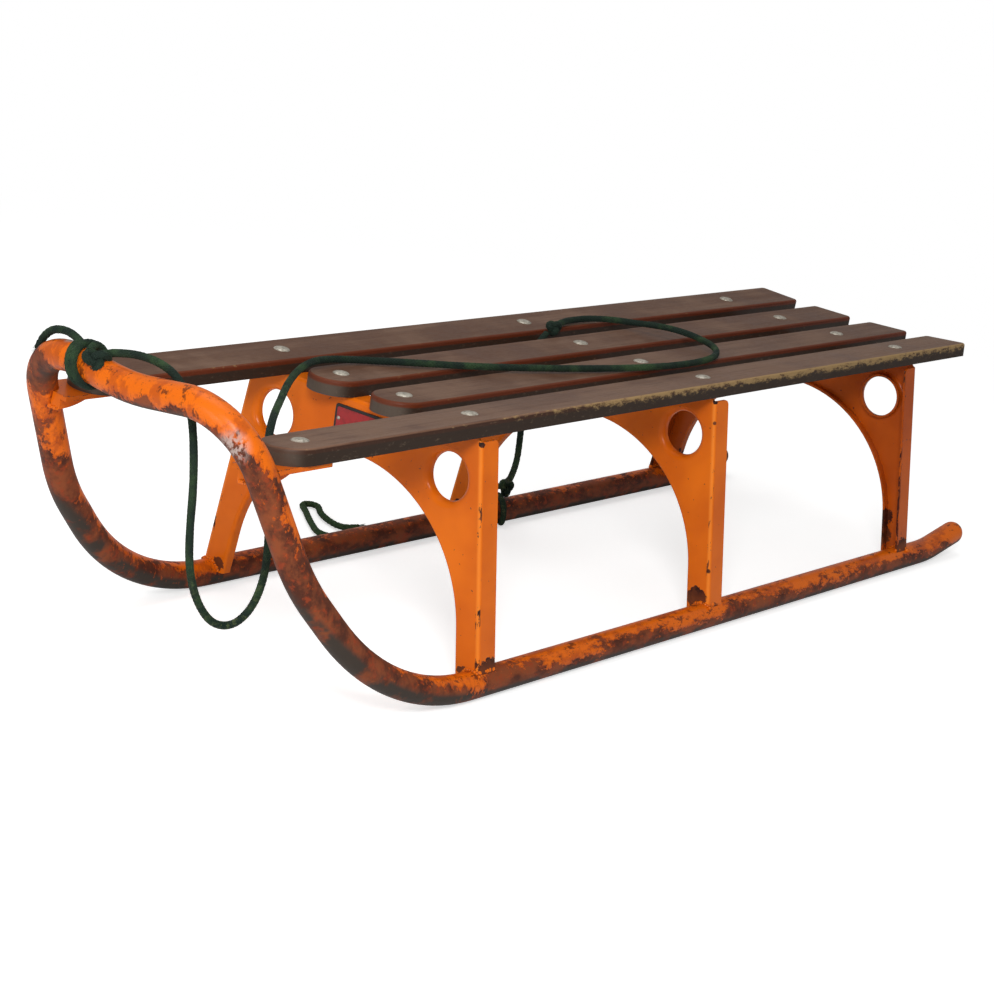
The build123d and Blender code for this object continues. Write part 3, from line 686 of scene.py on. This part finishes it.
# the turns round the bow and the runner, then the last point of the bow's turns
# and the short way out of the bow's knot to the long rope's start
bowTurns = ringPoints((-54, -557.5, 260.9), 16.6, math.radians(13), 190, 700, 40, 10.0)
runnerTurn = ringPoints((-158.5, 128, 12.5), 16.6, 0, 40, 280, 18, 20.0, "y")
bowTurnsEnd = [(-40, -566, 274)]
bowLeader = [(-37, -563, 270), (-32, -558, 273.7), (-26, -554.5, 275.2)]
knotExtras = {
    "bowKnot": {"Wrap": bowTurns + bowTurnsEnd, "Leader": bowLeader},
    "runnerKnot": {"Wrap": runnerTurn},
}
for name, knot in knots.items():
    turn = [math.radians(a) for a in knot["tilt"]]
    spin = Matrix.Rotation(turn[2], 3, "Z") @ Matrix.Rotation(turn[1], 3, "Y")
    spin = spin @ Matrix.Rotation(turn[0], 3, "X")
    axes = [spin @ Vector(v) for v in ((1, 0, 0), (0, 1, 0), (0, 0, 1))]
    loop = knotLine(knot["centre"], knot["size"], axes)
    lines = [(linePoints(routeCurve(name + "Route", loop, True)), True)]
    for part, points in knotExtras.get(name, {}).items():
        lines.append((linePoints(routeCurve(name + part, points)), False))
    core = bpy.data.curves.new(name + "Core", "CURVE")
    core.dimensions = "3D"
    core.bevel_depth = ropeBuild["coreRadius"] * mm
    core.bevel_resolution = 2
    core.use_fill_caps = True
    for points, closed in lines:
        even = evenSteps(points, ropeBuild["knotStep"] * mm, closed)[0]
        spline = core.splines.new("POLY")
        spline.points.add(len(even) - 1)
        for point, place in zip(spline.points, even):
            point.co = (*place, 1)
    coreObject = ridePiece(name + "Core", core, ropeMaterial)
    strands = braid(name + "Braid", lines, ropeMaterial)
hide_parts("bow_knot", "bow_wrap")
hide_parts("seat_knot")
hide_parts("runner_knot")
cordNodes = {
    "bowEndRope": "rope_bow_end", "haulRope": "rope_haul",
    "dropRope": "rope_drop", "groundRope": "rope_ground_end",
}
for name, node in cordNodes.items():
    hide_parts(node)


print("ropes and knots made")


# Rivets through the boards: low domed heads, with a formed tail below the sheet
rivet = {"headDiameter": 15.0, "headHeight": 2.0, "shank": 4.0, "tailRadius": 6.2, "tailHeight": 3.3}
boardX = (-110.0, -37.0, 37.0, 110.0)
rowY = {"front": -277.5, "middle": 69.0, "rear": 435.5}
tabRowY = -481.0


def seatZ(x):
    inner = min(abs(x), seat["foldX"])
    outer = max(abs(x) - seat["foldX"], 0)
    innerRise = inner * math.tan(math.radians(seat["innerTilt"]))
    outerRise = outer * math.tan(math.radians(seat["outerTilt"]))
    return seat["midZ"] + innerRise + outerRise


def seatFrame(x, y):
    # places a piece on the board's underside plane, in metres
    tilt = math.radians(seat["outerTilt"] if abs(x) > seat["foldX"] else seat["innerTilt"])
    turn = Matrix.Rotation(-tilt if x > 0 else tilt, 4, "Y")
    return Matrix.Translation((x * mm, y * mm, seatZ(x) * mm)) @ turn


def spunProfile(bm, profile, matrix, steps=28):
    # a turned shape from radius and height pairs
    verts = [bm.verts.new((r * mm, 0, z * mm)) for r, z in profile]
    edges = [bm.edges.new(pair) for pair in zip(verts, verts[1:])]
    before = set(bm.verts)
    bmesh.ops.spin(bm, geom=verts + edges, cent=(0, 0, 0), axis=(0, 0, 1), angle=2 * math.pi,
                   steps=steps, use_merge=True)
    new = list(set(bm.verts) - before) + verts
    new = [v for v in new if v.is_valid]
    bmesh.ops.remove_doubles(bm, verts=new, dist=1e-6)
    new = [v for v in new if v.is_valid]
    bmesh.ops.transform(bm, matrix=matrix, verts=new)


heads = bmesh.new()
tails = bmesh.new()
for x in boardX:
    rows = list(rowY.values()) + ([tabRowY] if abs(x) > seat["foldX"] else [])
    for y in rows:
        place = seatFrame(x, y)
        under = -4.0 if y == tabRowY else -2.5
        top = seat["boardThick"]
        r = rivet["headDiameter"] / 2
        h = rivet["headHeight"]
        shank, wide, tall = rivet["shank"], rivet["tailRadius"], rivet["tailHeight"]
        head = [(0, top + h), (r * 0.45, top + h * 0.93), (r * 0.75, top + h * 0.66),
                (r * 0.94, top + h * 0.28), (r, top + 0.05), (r * 0.97, top - 0.4), (shank, top - 0.4)]
        tail = [(shank, top - 0.2), (shank, under), (wide, under), (wide * 0.94, under - tall * 0.5),
                (wide * 0.56, under - tall * 0.9), (0, under - tall)]
        spunProfile(heads, head, place)
        spunProfile(tails, tail, place)
for bm in (heads, tails):
    bmesh.ops.recalc_face_normals(bm, faces=bm.faces)
meshPiece("rivetHeads", heads, zincMaterial)
meshPiece("rivetTails", tails, zincMaterial)
print("rivets made")


# Weld beads where the bridges' feet and the tabs meet the tube
weld = {
    "pitch": 2.8, "uneven": 0.35, "stray": 0.35, "sheet": 2.6, "lift": 0.6,
    "webBead": 1.872, "webFrom": -68, "webSweep": 126, "webInnerX": 137, "webOuterX": 168,
    "flangeBead": 2.08, "flangeX": 163.4, "flangeZ": 25.0, "flangeStart": 2, "flangeRun": 19,
    "seamBead": 1.82, "seamX": 104, "seamStep": 3, "seamY": -535.4, "seamZ": 208.0, "seamRise": 0.1,
}
tube = {"radius": 12.5, "x": 158.5}
webWay = {"front": 1, "middle": 1, "rear": -1}


def beadLine(bm, points, radius):
    # overlapping lumps laid along a line, like a hand weld
    for place in evenSteps(points, weld["pitch"] * mm)[0]:
        r = radius * rnd.uniform(1 - weld["uneven"], 1 + weld["uneven"]) * mm
        shift = Vector((rnd.uniform(-1, 1), rnd.uniform(-1, 1), rnd.uniform(-1, 1))) * weld["stray"] * mm
        bmesh.ops.create_icosphere(bm, subdivisions=2, radius=r, matrix=Matrix.Translation(place + shift))


def footArc(side, y):
    # over the tube's top from the leg's inner edge to its outer one
    arc = []
    r = tube["radius"] + weld["lift"]
    for i in range(13):
        angle = math.radians(weld["webFrom"] + weld["webSweep"] * i / 12)
        x = tube["x"] + r * math.sin(angle)
        if weld["webInnerX"] < x < weld["webOuterX"]:
            arc.append(Vector((x * side * mm, y * mm, (tube["radius"] + r * math.cos(angle)) * mm)))
    return arc


beads = bmesh.new()
for bridge, way in webWay.items():
    for side in (1, -1):
        for y in (webY[bridge], webY[bridge] + way * weld["sheet"]):
            beadLine(beads, footArc(side, y), weld["webBead"])
        flange = []
        for i in range(7):
            y = webY[bridge] + way * (weld["flangeStart"] + weld["flangeRun"] * i / 6)
            flange.append(Vector((side * weld["flangeX"] * mm, y * mm, weld["flangeZ"] * mm)))
        beadLine(beads, flange, weld["flangeBead"])
for side in (1, -1):
    seam = []
    for i in range(7):
        x = side * (weld["seamX"] + i * weld["seamStep"])
        seam.append(Vector((x * mm, weld["seamY"] * mm, (weld["seamZ"] + weld["seamRise"] * i) * mm)))
    beadLine(beads, seam, weld["seamBead"])
bmesh.ops.recalc_face_normals(beads, faces=beads.faces)
meshPiece("weldBeads", beads, makeSheetPaint("StoveEnamelOverWeld", 0.12))
print("welds made")


# Blank plate riveted to the front bridge's web
plate = {
    "halfWidth": 28.7, "low": 184.0, "high": 209.0, "thick": 1.0, "rimRound": 0.35, "corner": 3.0,
    "frame": 2.6, "fieldThick": 0.35, "fieldCorner": 1.8, "pinInset": 5, "pinSeat": 0.3,
}
pinProfile = [(0, 1.1), (1.2, 0.8), (1.9, 0), (1.7, -0.5)]


def roundedPlate(bm, inset, y, thick, corner):
    # the plate's outline drawn in by inset, and thick toward the front
    wide = plate["halfWidth"] - inset
    low, high = plate["low"] + inset, plate["high"] - inset
    corners = [(-wide, low), (wide, low), (wide, high), (-wide, high)]
    verts = [bm.verts.new((x * mm, y * mm, z * mm)) for x, z in corners]
    face = bm.faces.new(verts)
    bmesh.ops.bevel(bm, geom=list(face.verts), offset=corner * mm, segments=5, profile=0.5,
                    affect="VERTICES", material=-1)
    grown = bmesh.ops.extrude_face_region(bm, geom=list(bm.faces))
    moved = [v for v in grown["geom"] if isinstance(v, bmesh.types.BMVert)]
    bmesh.ops.translate(bm, verts=moved, vec=(0, -thick * mm, 0))
    bmesh.ops.recalc_face_normals(bm, faces=bm.faces)


plateBack = bmesh.new()
faceY = webY["front"] - plate["thick"]
roundedPlate(plateBack, 0, webY["front"], plate["thick"], plate["corner"])
rim = [e for e in plateBack.edges if all(abs(v.co.y - faceY * mm) < 1e-6 for v in e.verts)]
bmesh.ops.bevel(plateBack, geom=rim, offset=plate["rimRound"] * mm, segments=2, profile=0.5,
                affect="EDGES", material=-1)
meshPiece("plateFrame", plateBack, plateFrameMaterial, smooth=False)
plateField = bmesh.new()
roundedPlate(plateField, plate["frame"], faceY, plate["fieldThick"], plate["fieldCorner"])
meshPiece("plateField", plateField, plateRedMaterial, smooth=False)
platePins = bmesh.new()
pinZ = (plate["low"] + plate["high"]) / 2
for x in (plate["pinInset"] - plate["halfWidth"], plate["halfWidth"] - plate["pinInset"]):
    lift = Matrix.Translation((x * mm, (faceY - plate["pinSeat"]) * mm, pinZ * mm))
    spunProfile(platePins, pinProfile, lift @ Matrix.Rotation(math.radians(90), 4, "X"), 16)
bmesh.ops.recalc_face_normals(platePins, faces=platePins.faces)
meshPiece("platePins", platePins, zincMaterial)
print("plate made")


# Camera, from the photograph's perspective
shot = {
    "place": (1254.34, -1751.5, 699.11), "azimuth": 0.6430, "elevation": 0.2776, "roll": 0.1503,
    "focalPx": 2322.07, "heightPx": 995, "sensorMm": 36.0,
}


def placeCamera():
    a, e, r = shot["azimuth"], shot["elevation"], shot["roll"]
    back = Vector((math.sin(a) * math.cos(e), -math.cos(a) * math.cos(e), math.sin(e)))
    right = Vector((math.cos(a), math.sin(a), 0))
    up = back.cross(right)
    turnedRight = right * math.cos(r) + up * math.sin(r)
    turnedUp = up * math.cos(r) - right * math.sin(r)
    data = bpy.data.cameras.new("shotCamera")
    data.sensor_fit = "VERTICAL"
    data.sensor_height = shot["sensorMm"]
    data.lens = shot["focalPx"] * shot["sensorMm"] / shot["heightPx"]
    data.clip_end = 50
    camera = bpy.data.objects.new("shotCamera", data)
    bpy.context.scene.collection.objects.link(camera)
    turn = Matrix((turnedRight, turnedUp, back)).transposed().to_4x4()
    camera.matrix_world = Matrix.Translation([c * mm for c in shot["place"]]) @ turn
    bpy.context.scene.camera = camera


placeCamera()


# Floor and lights
studio = {
    "floor": "#EDEDEC", "floorSize": 40.0, "floorZ": -0.0004, "floorLift": 0.58,
    "paperNear": 0.65, "paperFar": 1.9, "world": "#FFFFFF", "worldStrength": 0.34, "aimZ": 0.12,
}
floorBm = bmesh.new()
bmesh.ops.create_grid(floorBm, x_segments=2, y_segments=2, size=studio["floorSize"])
bmesh.ops.translate(floorBm, verts=floorBm.verts, vec=(0, 0, studio["floorZ"]))
floorMesh = bpy.data.meshes.new("floor")
floorBm.to_mesh(floorMesh)
floorBm.free()
floorMat, floorTree, floorCoords = startMaterial("MattPaperFloor")


def backdropRays(tree):
    # rays that see the backdrop itself; gloss mirrors the dimmer room
    rays = addNode(tree, "ShaderNodeLightPath").outputs
    return combine(tree, rays["Is Camera Ray"], rays["Is Transmission Ray"], "MAXIMUM")


away = addNode(floorTree, "ShaderNodeVectorMath", {0: floorCoords.outputs["Object"]},
               operation="LENGTH").outputs["Value"]
far = ramp(floorTree, away, studio["paperNear"], studio["paperFar"])
far = combine(floorTree, far, backdropRays(floorTree))
paper = addNode(floorTree, "ShaderNodeBsdfPrincipled", {
    "Base Color": hexColour(studio["floor"]), "Roughness": 0.9, "Specular IOR Level": 0.1,
    "Emission Color": (1, 1, 1, 1),
    "Emission Strength": combine(floorTree, backdropRays(floorTree), studio["floorLift"]),
}).outputs[0]
white = addNode(floorTree, "ShaderNodeEmission", {"Color": (1, 1, 1, 1), "Strength": 1.0}).outputs[0]
both = addNode(floorTree, "ShaderNodeMixShader", {0: far, 1: paper, 2: white}).outputs[0]
addNode(floorTree, "ShaderNodeOutputMaterial", {"Surface": both})
floorMesh.materials.append(floorMat)
floor = bpy.data.objects.new("floor", floorMesh)
bpy.context.scene.collection.objects.link(floor)

world = bpy.data.worlds.new("studioWorld")
world.use_nodes = True
worldTree = world.node_tree
worldTree.nodes.clear()
worldLight = ramp(worldTree, backdropRays(worldTree), 0.0, 1.0, studio["worldStrength"], 1.0)
skyInputs = {"Color": hexColour(studio["world"]), "Strength": worldLight}
sky = addNode(worldTree, "ShaderNodeBackground", skyInputs)
addNode(worldTree, "ShaderNodeOutputWorld", {"Surface": sky.outputs[0]})
bpy.context.scene.world = world

lamps = [
    # name, place, size, watts
    ("keyLamp", (1.15, -1.6, 1.25), 0.5, 24),
    ("topLamp", (-0.4, -0.2, 2.6), 1.8, 18),
    ("frontLamp", (0.2, -2.4, 0.6), 0.8, 9),
]
for name, place, size, watts in lamps:
    data = bpy.data.lights.new(name, "AREA")
    data.energy = watts
    data.size = size
    lamp = bpy.data.objects.new(name, data)
    bpy.context.scene.collection.objects.link(lamp)
    aim = Vector((0, 0, studio["aimZ"])) - Vector(place)
    lamp.matrix_world = Matrix.Translation(place) @ aim.to_track_quat("-Z", "Y").to_matrix().to_4x4()
bpy.context.scene.view_settings.view_transform = "Standard"
print("camera, floor and lights placed")
